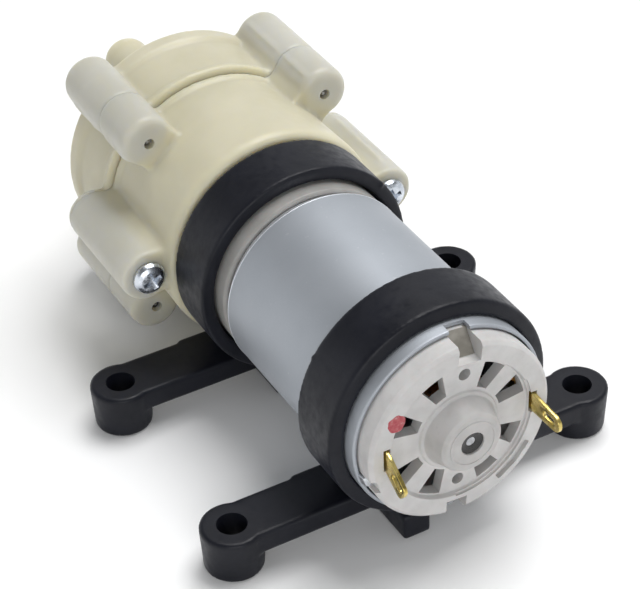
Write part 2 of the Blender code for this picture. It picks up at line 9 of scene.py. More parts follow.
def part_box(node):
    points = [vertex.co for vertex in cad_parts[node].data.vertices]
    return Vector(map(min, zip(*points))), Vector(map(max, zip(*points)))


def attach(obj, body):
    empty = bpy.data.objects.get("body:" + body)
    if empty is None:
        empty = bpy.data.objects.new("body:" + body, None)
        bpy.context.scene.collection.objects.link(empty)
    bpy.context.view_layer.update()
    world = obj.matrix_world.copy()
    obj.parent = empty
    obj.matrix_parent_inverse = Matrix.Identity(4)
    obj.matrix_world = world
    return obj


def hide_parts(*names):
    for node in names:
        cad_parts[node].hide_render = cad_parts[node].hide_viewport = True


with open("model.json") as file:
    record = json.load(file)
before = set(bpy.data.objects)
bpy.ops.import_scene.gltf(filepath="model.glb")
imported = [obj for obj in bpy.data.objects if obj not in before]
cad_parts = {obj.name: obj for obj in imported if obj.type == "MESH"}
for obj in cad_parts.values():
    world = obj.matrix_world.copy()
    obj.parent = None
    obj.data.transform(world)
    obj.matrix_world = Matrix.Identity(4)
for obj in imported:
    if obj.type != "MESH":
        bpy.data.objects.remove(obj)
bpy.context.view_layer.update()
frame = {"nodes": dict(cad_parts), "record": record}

MM = 0.001
BODY = "pump_body"

# Sizes --------------------------------------------------------------------------------
# Lengths are in millimetres and angles in degrees, until new_object places a mesh.
# Stations run along the pump axis from the rear strap's rear face.  Heights start at
# the axis.  Angles go round it, from the right-hand side upwards.

# Motor can
CAN_RADIUS = 13.85
CAN_INNER = 13.35
CAN_REAR = -2.35
CAN_FRONT = 32.2
CAN_BEVEL_IN = 0.85          # the front bevel's width across, and along the axis
CAN_BEVEL_BACK = 1.3
CAN_NECK = 5.0               # the bearing housing's radius on the can's front
CAN_NECK_FRONT = 34.0
CAN_OVERHANG = 3.0           # how far the CAD can stands behind the rear strap

# End cap
CAP_RADIUS = 13.15
CAP_INSIDE = 2.0
CAP_RIM = -5.2
CAP_WEB = -4.45
CAP_WEB_INSIDE = -2.8
CAP_HUB = -7.9
HUB_BORE = 1.65
HUB_FLOOR = -7.1
WINDOW_ANGLES = (21, 57, 114, 155, 207, 244, 297, 333)
WINDOW_INNER = 6.15
WINDOW_OUTER = 9.85
SMALL_HOLE = 0.85
SMALL_HOLE_PITCH = 8.3
TOP_NOTCH = 84
LEFT_NOTCH = 197
BOTTOM_NOTCH = 267
BEHIND = -9.0                # clear of the cap, for cutters
OUTSIDE = 15.0

# Terminals
TERMINAL_X = 10.7
BLADE_HALF = 0.25
BLADE_ROOT = 1.2

# Collar and pump head
COLLAR_RADIUS = 13.6
COLLAR_REAR = 32.4
COLLAR_FRONT = 43.2
DRUM_RADIUS = 16.5
DRUM_REAR = 43.3
SPLIT = 62.4                 # where the cover meets the housing
SPLIT_GAP = 0.02             # each side of the split
COVER_RADIUS = 17.7
COVER_FRONT = 74.4
HEAD_INNER = 14.0
BOSS_RADIUS = 3.8
CORNER_PITCH = 19.5
CORNER_ANGLES = (42.5, 132.5, 222.5, 312.5)
CORNER_REAR = 53.8
CORNER_FRONT = 74.5
EAR_PITCH = 19.1
EAR_REAR = 44.5
EAR_FRONT = 63.5
CORNERS = [(CORNER_PITCH, angle, CORNER_REAR, CORNER_FRONT) for angle in CORNER_ANGLES]
EARS = [(EAR_PITCH, angle, EAR_REAR, EAR_FRONT) for angle in (0, 180)]
NOZZLES = ((0.0, 0.0), (-3.7, 10.6))
NOZZLE_TIP = 83.35
NOZZLE_BORE = 2.0
HEAD_VOXEL = 0.31

# Straps
STRAP_RADIUS = 15.9
STRAP_INNER = 13.95
STRAP_WIDTH = 8.2
REAR_STRAP = 0.0
FRONT_STRAP = 34.5
REAR_FEET = 7.1              # the feet's middles from their strap's rear face
FRONT_FEET = 5.8
FOOT_X = 26.5
FLOOR = -19.2
ARM_LOW = -15.8
ARM_TOP = -12.5
ARM_HALF = 3.8
SHOULDER_HALF = 4.25         # the arm's front half is wider near the ring
LUG_X = (-6.0, -2.0)
LUG_Z = (-18.8, -14.9)
STRAP_VOXEL = 0.28

# Where the pump lies in the frame, in metres
can_low, can_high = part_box("motor_can")
AXIS_Z = (can_low.z + can_high.z) / 2.0
SHIFT = can_low.y + CAN_OVERHANG * MM

# Camera, laid out like the pump
CAMERA_PLACE = (-109.7, -175.5, 175.0)
CAMERA_ANGLES = (52.8536, 1.8065, -29.3898)
CAMERA_LENS = 121.009
SENSOR_WIDTH = 36.0

# Lamps, in the frame's own metres: name, place, target, width, height, watts
LAMPS = (
    ("key", (0.20, 0.08, 0.60), (0, 0, 0.02), 0.42, 0.42, 3.8),
    ("front", (-0.20, -0.58, 0.30), (0, 0, 0.02), 0.35, 0.30, 1.25),
    ("left", (-0.55, 0.12, 0.12), (0, 0.02, 0.02), 0.35, 0.25, 0.12),
)

# Sky and floor
WALL_LIGHT = 1.0
CEILING_LIGHT = 0.2
WALL_TOP = 0.05              # heights on the sky's unit sphere
CEILING_EDGE = 0.62
SKY_TINT = (0.97, 0.985, 1.0, 1.0)
FLOOR_HALF = 2.0             # metres


# Mesh building ------------------------------------------------------------------------

def placed(x, station, height):
    """The frame's own point, in metres, for a point on the pump."""
    return x * MM, station * MM + SHIFT, height * MM + AXIS_Z


def new_object(name, verts, faces):
    """A mesh from points on the pump: x, station, height."""
    mesh = bpy.data.meshes.new(name)
    mesh.from_pydata([placed(*point) for point in verts], [], faces)
    mesh.update()
    made = bpy.data.objects.new(name, mesh)
    bpy.context.scene.collection.objects.link(made)
    return tidy(made)


def tidy(made):
    """Weld doubled points and point every face outwards."""
    work = bmesh.new()
    work.from_mesh(made.data)
    bmesh.ops.remove_doubles(work, verts=work.verts, dist=0.002 * MM)
    bmesh.ops.dissolve_degenerate(work, edges=work.edges, dist=0.001 * MM)
    bmesh.ops.recalc_face_normals(work, faces=work.faces)
    work.to_mesh(made.data)
    work.free()
    return made


def soften(points, radius, closed=True, arc=4):
    """The same outline with its corners rounded, as (u, v) points."""
    count = len(points)
    result = []
    for i, here in enumerate(points):
        if not closed and i in (0, count - 1):
            result.append(here)
            continue
        here = Vector(here)
        before = Vector(points[i - 1])
        after = Vector(points[(i + 1) % count])
        cut_back = min(radius, 0.42 * (before - here).length, 0.42 * (after - here).length)
        start = here + (before - here).normalized() * cut_back
        end = here + (after - here).normalized() * cut_back
        for step in range(arc + 1):
            t = step / arc
            point = start * (1 - t) ** 2 + here * 2 * t * (1 - t) + end * t ** 2
            result.append((point.x, point.y))
    return result


def turned(outline, steps):
    """Each step's cosine and sine with each outline point, in order."""
    for i in range(steps):
        angle = 2.0 * math.pi * i / steps
        for radius, level in outline:
            yield radius * math.cos(angle), radius * math.sin(angle), level


def ring_faces(steps, count, spans):
    """Quads between neighbouring copies of an outline of count points, all the way round."""
    faces = []
    for i in range(steps):
        j = (i + 1) % steps
        for k in range(spans):
            n = (k + 1) % count
            faces.append((i * count + k, i * count + n, j * count + n, j * count + k))
    return faces


def lathe(name, profile, radius=0.15, steps=144, x=0.0, z=0.0, closed=True):
    """A (radius, station) outline spun round a line along the axis at x, z."""
    outline = soften(profile, radius, closed) if radius else profile
    verts = [(x + a, station, z + b) for a, b, station in turned(outline, steps)]
    spans = len(outline) if closed else len(outline) - 1
    return new_object(name, verts, ring_faces(steps, len(outline), spans))


def upright(name, profile, x, station, radius=0.0, steps=72):
    """A (radius, height) outline from axis to axis, spun round a vertical line."""
    outline = soften(profile, radius, closed=False) if radius else profile
    verts = [(x + a, station + b, height) for a, b, height in turned(outline, steps)]
    return new_object(name, verts, ring_faces(steps, len(outline), len(outline) - 1))


def slab(name, outline, low, high, across="z", bevel=0.0, turn=0.0):
    """An outline pushed from low to high along one axis, then turned about the pump axis."""
    count = len(outline)
    verts = []
    for level in (low, high):
        for u, v in outline:
            verts.append({"z": (u, v, level), "y": (u, level, v), "x": (level, u, v)}[across])
    if turn:
        c, s = polar(1.0, turn)
        verts = [(x * c - z * s, y, x * s + z * c) for x, y, z in verts]
    faces = [tuple(range(count)), tuple(range(2 * count - 1, count - 1, -1))]
    for i in range(count):
        j = (i + 1) % count
        faces.append((i, count + i, count + j, j))
    made = new_object(name, verts, faces)
    if bevel:
        add_bevel(made, bevel)
    return made


def bar(name, x, y, z, bevel=0.0, turn=0.0):
    """A bar from (low, high) pairs, turned about the pump axis."""
    outline = [(x[0], y[0]), (x[1], y[0]), (x[1], y[1]), (x[0], y[1])]
    return slab(name, outline, z[0], z[1], "z", bevel, turn)


def polar(radius, degrees):
    angle = math.radians(degrees)
    return radius * math.cos(angle), radius * math.sin(angle)


def arc_outline(inner, outer, centre, outer_span, inner_span, steps=6):
    """A window between two radii, with its own width in degrees at each."""
    points = []
    for i in range(steps + 1):
        points.append(polar(outer, centre - outer_span / 2 + outer_span * i / steps))
    for i in range(steps + 1):
        points.append(polar(inner, centre + inner_span / 2 - inner_span * i / steps))
    return points


def bake(made):
    """Apply the modifiers."""
    graph = bpy.context.evaluated_depsgraph_get()
    mesh = bpy.data.meshes.new_from_object(made.evaluated_get(graph))
    made.modifiers.clear()
    made.data = mesh


def add_bevel(made, width, segments=3, angle=35):
    edge = made.modifiers.new("bevel", "BEVEL")
    edge.width = width * MM
    edge.segments = segments
    edge.limit_method = "ANGLE"
    edge.angle_limit = math.radians(angle)
    edge.use_clamp_overlap = True
    bake(made)


def cut(target, cutters):
    for cutter in cutters:
        step = target.modifiers.new("cut", "BOOLEAN")
        step.operation = "DIFFERENCE"
        step.solver = "EXACT"
        step.object = cutter
    bake(target)
    for cutter in cutters:
        bpy.data.objects.remove(cutter, do_unlink=True)


def join(target, others):
    """Put other meshes into the target's mesh."""
    work = bmesh.new()
    work.from_mesh(target.data)
    for other in others:
        work.from_mesh(other.data)
        bpy.data.objects.remove(other, do_unlink=True)
    work.to_mesh(target.data)
    work.free()
    target.data.update()
    return target


def mould(made, solids, cutters, voxel, smooth):
    """Melt overlapping shapes into one moulded skin with small fillets, then cut it."""
    join(made, solids)
    step = made.modifiers.new("remesh", "REMESH")
    step.mode = "VOXEL"
    step.voxel_size = voxel * MM
    relax = made.modifiers.new("relax", "SMOOTH")
    relax.factor = 0.5
    relax.iterations = smooth
    bake(made)
    cut(made, [join(cutters[0], cutters[1:])])


def shade(made, angle=180):
    """Smooth shading, with edges sharper than the angle kept crisp."""
    made.data.polygons.foreach_set("use_smooth", [True] * len(made.data.polygons))
    if angle < 180:
        made.data.set_sharp_from_angle(angle=math.radians(angle))
    made.data.update()


# Materials ----------------------------------------------------------------------------

class Surface:
    """A Principled material and the few nodes that colour it, roughen it and dent it."""

    def __init__(self, name, **constants):
        self.material = bpy.data.materials.new(name)
        self.material.use_nodes = True
        self.tree = self.material.node_tree
        self.shader = self.tree.nodes["Principled BSDF"]
        for socket, value in constants.items():
            self.shader.inputs[socket.replace("_", " ")].default_value = value
        self.coords = self.tree.nodes.new("ShaderNodeTexCoord")

    def feed(self, value, place):
        """Give a socket a link, a colour or a number."""
        if isinstance(value, bpy.types.NodeSocket):
            self.tree.links.new(value, place)
        elif isinstance(value, tuple):
            place.default_value = (*value, 1.0)
        else:
            place.default_value = value

    def noise(self, scale, detail=4, rough=0.5):
        field = self.tree.nodes.new("ShaderNodeTexNoise")
        field.inputs["Scale"].default_value = scale
        field.inputs["Detail"].default_value = detail
        field.inputs["Roughness"].default_value = rough
        self.feed(self.coords.outputs["Object"], field.inputs["Vector"])
        return field.outputs["Fac"]

    def ramp(self, value, *stops):
        """Colours at places from 0 to 1, eased between them."""
        made = self.tree.nodes.new("ShaderNodeValToRGB")
        ramp = made.color_ramp
        ramp.interpolation = "EASE"
        while len(ramp.elements) < len(stops):
            ramp.elements.new(0.5)
        for element, (place, colour) in zip(ramp.elements, stops):
            element.position = place
            element.color = (*colour, 1.0)
        self.feed(value, made.inputs["Fac"])
        return made.outputs["Color"]

    def clouds(self, scale, detail, dark, light):
        """Soft patches of two colours."""
        return self.ramp(self.noise(scale, detail), (0.3, dark), (0.7, light))

    def mix(self, amount, one, two, kind="MIX"):
        made = self.tree.nodes.new("ShaderNodeMix")
        made.data_type = "RGBA"
        made.blend_type = kind
        places = [place for place in made.inputs if place.enabled]
        for place, value in zip(places, (amount, one, two)):
            self.feed(value, place)
        return [place for place in made.outputs if place.enabled][0]

    def measure(self, kind, *values):
        """One Math node on sockets or numbers."""
        made = self.tree.nodes.new("ShaderNodeMath")
        made.operation = kind
        for place, value in zip(made.inputs, values):
            self.feed(value, place)
        return made.outputs[0]

    def from_axis(self, reach):
        """Distance from the pump axis, as a share of a reach in millimetres."""
        split = self.tree.nodes.new("ShaderNodeSeparateXYZ")
        self.feed(self.coords.outputs["Object"], split.inputs[0])
        height = self.measure("SUBTRACT", split.outputs["Z"], AXIS_Z)
        across = self.measure("MULTIPLY", split.outputs["X"], split.outputs["X"])
        upward = self.measure("MULTIPLY", height, height)
        radius = self.measure("SQRT", self.measure("ADD", across, upward))
        return self.measure("MULTIPLY", radius, 1.0 / (reach * MM))

    def colour(self, socket):
        self.feed(socket, self.shader.inputs["Base Color"])

    def roughen(self, value, low, high):
        spread = self.tree.nodes.new("ShaderNodeMapRange")
        spread.inputs["From Min"].default_value = 0.3
        spread.inputs["From Max"].default_value = 0.7
        spread.inputs["To Min"].default_value = low
        spread.inputs["To Max"].default_value = high
        self.feed(value, spread.inputs["Value"])
        self.feed(spread.outputs["Result"], self.shader.inputs["Roughness"])

    def bump(self, value, depth, strength):
        """Small dents, depth in millimetres."""
        made = self.tree.nodes.new("ShaderNodeBump")
        made.inputs["Distance"].default_value = depth * MM
        made.inputs["Strength"].default_value = strength
        self.feed(value, made.inputs["Height"])
        self.feed(made.outputs["Normal"], self.shader.inputs["Normal"])


def can_steel():
    """Dull plated sheet with sparse pale specks."""
    made = Surface("can_steel", Metallic=0.72)
    grain = made.noise(3600, 3, 0.6)
    tone = made.ramp(made.noise(120, 3), (0.25, (0.385, 0.41, 0.445)), (0.75, (0.415, 0.44, 0.475)))
    speck = made.ramp(made.noise(1500, 2, 0.4), (0.70, (0, 0, 0)), (0.78, (1, 1, 1)))
    made.colour(made.mix(speck, tone, (0.45, 0.47, 0.50)))
    made.roughen(grain, 0.50, 0.56)
    made.bump(grain, 0.01, 0.12)
    return made


def rim_steel():
    """The can's folded tabs, brighter and more worn than its side."""
    made = Surface("rim_steel", Metallic=1.0)
    grain = made.noise(1800, 4, 0.6)
    made.colour(made.clouds(500, 4, (0.52, 0.54, 0.57), (0.72, 0.74, 0.77)))
    made.roughen(grain, 0.25, 0.5)
    made.bump(grain, 0.04, 0.4)
    return made


def cap_plastic():
    """Warm grey plastic, dirtier near the bearing and with grimy flecks."""
    made = Surface("cap_plastic", Subsurface_Weight=0.08, Subsurface_Scale=0.0006)
    tone = made.clouds(420, 4, (0.485, 0.475, 0.468), (0.545, 0.535, 0.528))
    near = made.ramp(made.from_axis(10.0), (0.40, (0.52, 0.505, 0.485)), (0.62, (1, 1, 1)))
    worn = made.mix(0.35, tone, near, "MULTIPLY")
    grime = made.ramp(made.noise(900, 5, 0.65), (0.60, (0, 0, 0)), (0.78, (0.45, 0.45, 0.45)))
    made.colour(made.mix(grime, worn, (0.40, 0.38, 0.36)))
    made.roughen(made.noise(1500, 3), 0.42, 0.6)
    made.bump(made.noise(2600, 3), 0.03, 0.35)
    return made


def head_plastic():
    """Translucent ivory plastic, tinted yellower towards the axis as painted shade and greyer on
    the bosses.
    """
    made = Surface("head_plastic", Subsurface_Weight=0.75, Subsurface_Scale=0.0034,
                   Subsurface_Radius=(1.0, 0.85, 0.50), Specular_IOR_Level=0.42)
    body = made.clouds(90, 3, (0.525, 0.513, 0.437), (0.585, 0.573, 0.50))
    # Painted shade: yellower within about 17 mm of the axis, easing to greyer by 20 mm out on the
    # bosses.
    radial_shade_tint = made.ramp(made.from_axis(20.0), (0.84, (1.0, 0.965, 0.84)), (1.0, (0.88, 0.885, 0.91)))
    made.colour(made.mix(1.0, body, radial_shade_tint, "MULTIPLY"))
    made.roughen(made.noise(700, 3), 0.34, 0.48)
    made.bump(made.noise(260, 3), 0.18, 0.28)
    return made


def collar_plastic():
    made = Surface("collar_plastic", Subsurface_Weight=0.1, Subsurface_Scale=0.0008)
    made.colour(made.clouds(300, 3, (0.26, 0.254, 0.242), (0.31, 0.303, 0.29)))
    made.roughen(made.noise(1200, 3), 0.38, 0.5)
    made.bump(made.noise(900, 3), 0.04, 0.3)
    return made


def strap_rubber():
    made = Surface("strap_rubber", Specular_IOR_Level=0.24, Sheen_Weight=0.03,
                   Sheen_Roughness=0.4, Sheen_Tint=(0.55, 0.6, 0.8, 1.0))
    # Near-black rubber; the blue cast in it is painted, standing for the bluish sheen on the rings.
    made.colour(made.clouds(160, 4, (0.0044, 0.005, 0.0088), (0.008, 0.0088, 0.014)))
    made.roughen(made.noise(900, 4), 0.34, 0.52)
    made.bump(made.noise(1400, 4, 0.6), 0.05, 0.35)
    return made


def terminal_brass():
    made = Surface("terminal_brass", Metallic=1.0)
    made.colour(made.clouds(600, 4, (0.52, 0.40, 0.105), (0.80, 0.66, 0.26)))
    made.roughen(made.noise(900, 3), 0.18, 0.38)
    made.bump(made.noise(500, 4), 0.08, 0.4)
    return made


def red_ink():
    made = Surface("red_ink")
    blot = made.noise(1700, 4, 0.6)
    made.colour(made.ramp(blot, (0.35, (0.33, 0.03, 0.045)), (0.55, (0.39, 0.07, 0.08)),
                          (0.7, (0.44, 0.22, 0.22))))
    made.roughen(blot, 0.35, 0.6)
    return made


def floor_paint():
    made = Surface("floor_paint")
    made.colour(made.clouds(6, 2, (0.94, 0.94, 0.94), (0.96, 0.96, 0.96)))
    made.roughen(made.noise(60, 2), 0.55, 0.65)
    return made


def metal(name, dark, light, low, high, scale=900):
    """A bare metal from its two tones and its least and greatest roughness."""
    made = Surface(name, Metallic=1.0)
    made.colour(made.clouds(scale * 0.5, 4, dark, light))
    made.roughen(made.noise(scale), low, high)
    made.bump(made.noise(scale * 2, 3), 0.03, 0.3)
    return made


def dull(name, dark, light, low, high, scale=700, **constants):
    """The same for rubber, plastic, carbon, ferrite and painted shade."""
    made = Surface(name, **constants)
    made.colour(made.clouds(scale * 0.4, 4, dark, light))
    made.roughen(made.noise(scale), low, high)
    made.bump(made.noise(scale * 2), 0.04, 0.35)
    return made


def grey(value):
    return value, value, value


FINISHES = {
    "can_steel": can_steel(),
    "cap_plastic": cap_plastic(),
    "head_plastic": head_plastic(),
    "collar_plastic": collar_plastic(),
    "strap_rubber": strap_rubber(),
    "terminal_brass": terminal_brass(),
    "bearing_bronze": metal("bearing_bronze", (0.30, 0.19, 0.09), (0.46, 0.31, 0.17), 0.4, 0.6),
    "spring_copper": metal("spring_copper", (0.60, 0.33, 0.18), (0.76, 0.46, 0.28), 0.25, 0.4),
    "brush_carbon": dull("brush_carbon", grey(0.03), grey(0.06), 0.5, 0.8, 2500),
    "magnet_ferrite": dull("magnet_ferrite", (0.05, 0.05, 0.055), (0.09, 0.09, 0.10),
                           0.5, 0.7, 1800),
    "core_steel": metal("core_steel", (0.30, 0.31, 0.33), (0.44, 0.45, 0.47), 0.35, 0.5),
    "winding_copper": metal("winding_copper", (0.42, 0.15, 0.06), (0.62, 0.27, 0.12),
                            0.22, 0.42, 1600),
    "shaft_steel": metal("shaft_steel", (0.28, 0.285, 0.30), (0.52, 0.53, 0.55), 0.2, 0.4, 1800),
    "nylon": dull("nylon", (0.78, 0.78, 0.74), (0.86, 0.86, 0.83), 0.4, 0.55,
                  Subsurface_Weight=0.2, Subsurface_Scale=0.001),
    "screw_steel": metal("screw_steel", (0.52, 0.56, 0.62), (0.74, 0.78, 0.84), 0.2, 0.34, 1500),
    "valve_rubber": dull("valve_rubber", grey(0.018), grey(0.035), 0.5, 0.7),
}
RIM_STEEL = rim_steel()
# Lighter steel for the can's front bevel: a painted highlight band.
EDGE_HIGHLIGHT_STEEL = metal("edge_highlight_steel", (0.74, 0.76, 0.80), (0.86, 0.88, 0.92), 0.42, 0.52, 1500)
RED_INK = red_ink()
# Dark olive grey for the top notch's floor: painted shade in the notch.
NOTCH_SHADE = dull("notch_shade", (0.15, 0.14, 0.118), (0.27, 0.255, 0.225), 0.5, 0.7, 900)
# Near-black for the hub's bore: painted shade in the hole.
BORE_SHADE = dull("bore_shade", grey(0.008), (0.02, 0.019, 0.017), 0.2, 0.35, 1500)
# Near-black steel for the head screws' points: painted shade in the bosses' holes.
TIP_SHADE_STEEL = metal("tip_shade_steel", grey(0.05), grey(0.42), 0.3, 0.6, 1500)


def dress(made, slot, surface=None, node=None):
    """Give a new piece its finish and its body, and hide the CAD node it stands for."""
    made.data.materials.clear()
    made.data.materials.append((surface or FINISHES[slot]).material)
    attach(made, BODY)
    if node:
        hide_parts(node)


def dress_carried_nodes():
    """The CAD nodes that stay get the finish of their own slot."""
    slots = {part["node"]: part["material_slot"] for part in frame["record"]["subparts"]}
    for name, node in frame["nodes"].items():
        finish = FINISHES[slots[name]].material
        if not node.material_slots:
            node.data.materials.append(finish)
        for place in node.material_slots:
            place.material = finish


# Motor --------------------------------------------------------------------------------

def motor_can():
    """The drawn can, with the slot under the cap's top notch."""
    made = lathe("can_shell", [
        (CAN_NECK, CAN_NECK_FRONT), (CAN_NECK, CAN_FRONT),
        (CAN_RADIUS - CAN_BEVEL_IN, CAN_FRONT), (CAN_RADIUS, CAN_FRONT - CAN_BEVEL_BACK),
        (CAN_RADIUS, CAN_REAR + 0.2), (CAN_RADIUS - 0.15, CAN_REAR), (CAN_INNER, CAN_REAR),
        (CAN_INNER, CAN_FRONT - 0.6), (CAN_NECK - 1.7, CAN_FRONT - 0.6),
        (CAN_NECK - 1.7, CAN_NECK_FRONT),
    ], 0.12, 192)
    cut(made, [bar("key_slot", (12.5, OUTSIDE), (BEHIND, -0.9), (-1.5, 1.5), turn=TOP_NOTCH)])
    shade(made, 30)
    dress(made, "can_steel", node="motor_can")


def can_edge():
    """The bevel round the can's front edge, just proud of it, in lighter steel as a painted
    highlight.
    """
    outer = CAN_RADIUS + 0.03
    made = lathe("can_edge", [
        (CAN_RADIUS - CAN_BEVEL_IN, CAN_FRONT + 0.03), (outer, CAN_FRONT - 1.28),
        (outer, CAN_FRONT - 1.45), (outer - 0.18, CAN_FRONT - 1.4),
        (CAN_RADIUS - 0.95, CAN_FRONT - 0.2),
    ], 0.05, 192)
    shade(made, 50)
    dress(made, "can_steel", EDGE_HIGHLIGHT_STEEL)


def crimp_tabs():
    """The can's edge, folded in over the cap beside the left terminal and at the bottom."""
    for name, degrees in (("crimp_tab_left", LEFT_NOTCH), ("crimp_tab_bottom", BOTTOM_NOTCH)):
        made = slab(name, [
            (12.75, -3.7), (13.45, -3.3), (13.65, -2.2), (13.25, -1.8), (12.75, -2.8),
        ], -0.8, 0.8, bevel=0.08, turn=degrees)
        shade(made, 35)
        dress(made, "can_steel", RIM_STEEL)


def end_cap():
    """The vented cap: a dished disc with a hub, two small holes and notches in its edge."""
    made = lathe("cap_shell", [
        (11.2, CAP_INSIDE), (CAP_RADIUS, CAP_INSIDE), (CAP_RADIUS, CAP_RIM + 0.5),
        (CAP_RADIUS - 0.5, CAP_RIM), (10.25, CAP_RIM), (10.05, CAP_WEB), (5.75, CAP_WEB),
        (5.6, CAP_WEB - 0.3), (5.15, CAP_WEB - 0.35), (4.35, CAP_HUB + 0.4), (3.9, CAP_HUB),
        (HUB_BORE, CAP_HUB), (HUB_BORE, HUB_FLOOR), (2.9, HUB_FLOOR), (2.9, CAP_WEB_INSIDE),
        (11.2, CAP_WEB_INSIDE),
    ], 0.14, 192)
    cutters = []
    for degrees in WINDOW_ANGLES:
        outline = arc_outline(WINDOW_INNER, WINDOW_OUTER, degrees, 20, 15)
        cutters.append(slab("window", outline, CAP_WEB - 0.45, 0.0, "y"))
    for side, degrees in ((-1, 270), (1, TOP_NOTCH)):
        x, z = polar(SMALL_HOLE_PITCH, degrees)
        cutters.append(lathe("hole", [(0.0, BEHIND), (SMALL_HOLE, BEHIND), (SMALL_HOLE, 0.0),
                                      (0.0, 0.0)], 0, 40, x, z, closed=False))
        cutters.append(bar("slot", sorted((side * 10.2, side * 11.2)), (BEHIND, 1.0),
                           (-1.45, 1.85)))
    cutters.append(slab("top_notch", [
        (10.5, BEHIND), (OUTSIDE, BEHIND), (OUTSIDE, -0.4), (13.0, -1.4), (10.5, -3.9),
    ], -1.65, 1.65, turn=TOP_NOTCH))
    cutters.append(bar("bottom_notch", (11.0, OUTSIDE), (BEHIND, -3.1), (-1.5, 1.5),
                       turn=BOTTOM_NOTCH))
    cutters.append(bar("side_notch", (12.5, OUTSIDE), (BEHIND, -3.5), (-1.0, 1.0),
                       turn=LEFT_NOTCH))
    groove = soften(arc_outline(10.85, 12.0, -46, 31, 31, 2), 0.4)
    cutters.append(slab("groove", groove, CAP_RIM - 0.4, CAP_RIM + 0.65, "y"))
    step = arc_outline(9.9, 10.5, -35, 118, 118, 30)
    cutters.append(slab("step", step, CAP_RIM - 0.4, CAP_RIM + 0.35, "y"))
    cut(made, cutters)
    add_bevel(made, 0.07, 2, 42)
    shade(made, 38)
    dress(made, "cap_plastic", node="end_cap")


def notch_floor():
    """The bare floor of the cap's top notch, darkened as painted shade."""
    made = slab("notch_floor", [(10.62, -3.86), (13.1, -1.42), (13.1, -1.0), (10.62, -3.2)],
                -1.62, 1.62, bevel=0.05, turn=TOP_NOTCH)
    shade(made, 35)
    dress(made, "cap_plastic", NOTCH_SHADE)


def bore_shade_ring():
    """A near-black ring between the shaft's end and the hub: painted shade in the hub's bore."""
    outer = HUB_BORE - 0.01
    made = lathe("bore_shade_ring", [
        (0.62, -7.36), (1.2, -7.48), (outer, -7.62), (outer, HUB_FLOOR + 0.05),
        (0.62, HUB_FLOOR + 0.05),
    ], 0.06, 64)
    shade(made, 60)
    dress(made, "cap_plastic", BORE_SHADE)


def hub_ring():
    """The seam round the hub's face, a raised lip."""
    made = lathe("hub_lip", [
        (3.05, CAP_HUB - 0.08), (3.35, CAP_HUB - 0.08), (3.35, CAP_HUB + 0.3),
        (3.05, CAP_HUB + 0.3),
    ], 0.06, 96)
    shade(made, 50)
    dress(made, "cap_plastic")


def ink_dot():
    """A dabbed inspection dot: a middle point and three uneven rings, the last on the cap."""
    steps = 56
    x, z = -9.3, 5.4
    verts = [(x, CAP_RIM - 0.045, z)]
    for share, lift in ((0.55, 0.05), (0.9, 0.045), (1.0, 0.0)):
        for i in range(steps):
            angle = 2.0 * math.pi * i / steps
            c, s = math.cos(angle), math.sin(angle)
            radius = 1.25 * share * (1.0 + 0.16 * noise.noise((c * 1.7, s * 1.7, 3.0)))
            verts.append((x + radius * c, CAP_RIM - lift, z + radius * s))
    faces = [(0, 1 + (i + 1) % steps, 1 + i) for i in range(steps)]
    for start in (1, 1 + steps):
        for i in range(steps):
            j = (i + 1) % steps
            faces.append((start + i, start + j, start + steps + j, start + steps + i))
    made = new_object("ink_dot", verts, faces)
    shade(made)
    dress(made, "cap_plastic", RED_INK)


def eyelet(x, middle, tilt):
    """A long round-ended hole through a blade: two half circles with a straight between."""
    steps, radius, straight = 28, 0.5, 0.75
    lean, rise = polar(1.0, tilt)
    outline = []
    for i in range(steps):
        angle = 2.0 * math.pi * i / steps
        along = radius * math.cos(angle) + math.copysign(straight, math.cos(angle))
        over = radius * math.sin(angle)
        outline.append((middle[0] + along * lean - over * rise,
                        middle[1] + along * rise + over * lean))
    return slab("eyelet", outline, x - 1.0, x + 1.0, "x")


def terminals():
    """Stamped brass blades with eyelets, the left one bent down."""
    straight = [(BLADE_ROOT, -1.2), (-5.6, -1.2), (-10.4, -1.0), (-11.1, -0.55), (-11.3, 0.2),
                (-11.1, 0.95), (-10.4, 1.4), (-5.6, 1.6), (BLADE_ROOT, 1.6)]
    bent = [(BLADE_ROOT, -1.2), (-4.7, -1.2), (-5.6, -1.9), (-7.9, -3.35), (-8.55, -3.45),
            (-9.4, -2.6), (-9.75, -1.7), (-9.45, -1.15), (-6.3, 1.1), (-5.2, 1.6),
            (BLADE_ROOT, 1.6)]
    for word, x, outline, middle, tilt in (
        ("left", -TERMINAL_X, bent, (-7.9, -1.5), 33),
        ("right", TERMINAL_X, straight, (-8.9, 0.2), 0),
    ):
        made = slab("blade_" + word, soften(outline, 0.3, arc=3), x - BLADE_HALF,
                    x + BLADE_HALF, "x")
        cut(made, [eyelet(x, middle, tilt)])
        add_bevel(made, 0.07, 2, 40)
        shade(made, 40)
        dress(made, "terminal_brass", node="terminal_" + word)


# Screws -------------------------------------------------------------------------------

def cross_arm(x, z, seat, facing, degrees):
    """One tapered bar of a cross recess, wide at its mouth and narrow at its foot."""
    ux, uz = polar(1.0, degrees)
    verts = []
    for depth, reach, half in ((-2.0, 1.85, 0.47), (-0.3, 0.6, 0.22)):
        for a, b in ((-reach, -half), (reach, -half), (reach, half), (-reach, half)):
            verts.append((x + a * ux - b * uz, seat + facing * depth, z + a * uz + b * ux))
    faces = [(0, 1, 2, 3), (7, 6, 5, 4)]
    faces += [(i, 4 + i, 4 + (i + 1) % 4, (i + 1) % 4) for i in range(4)]
    return new_object("cross", verts, faces)


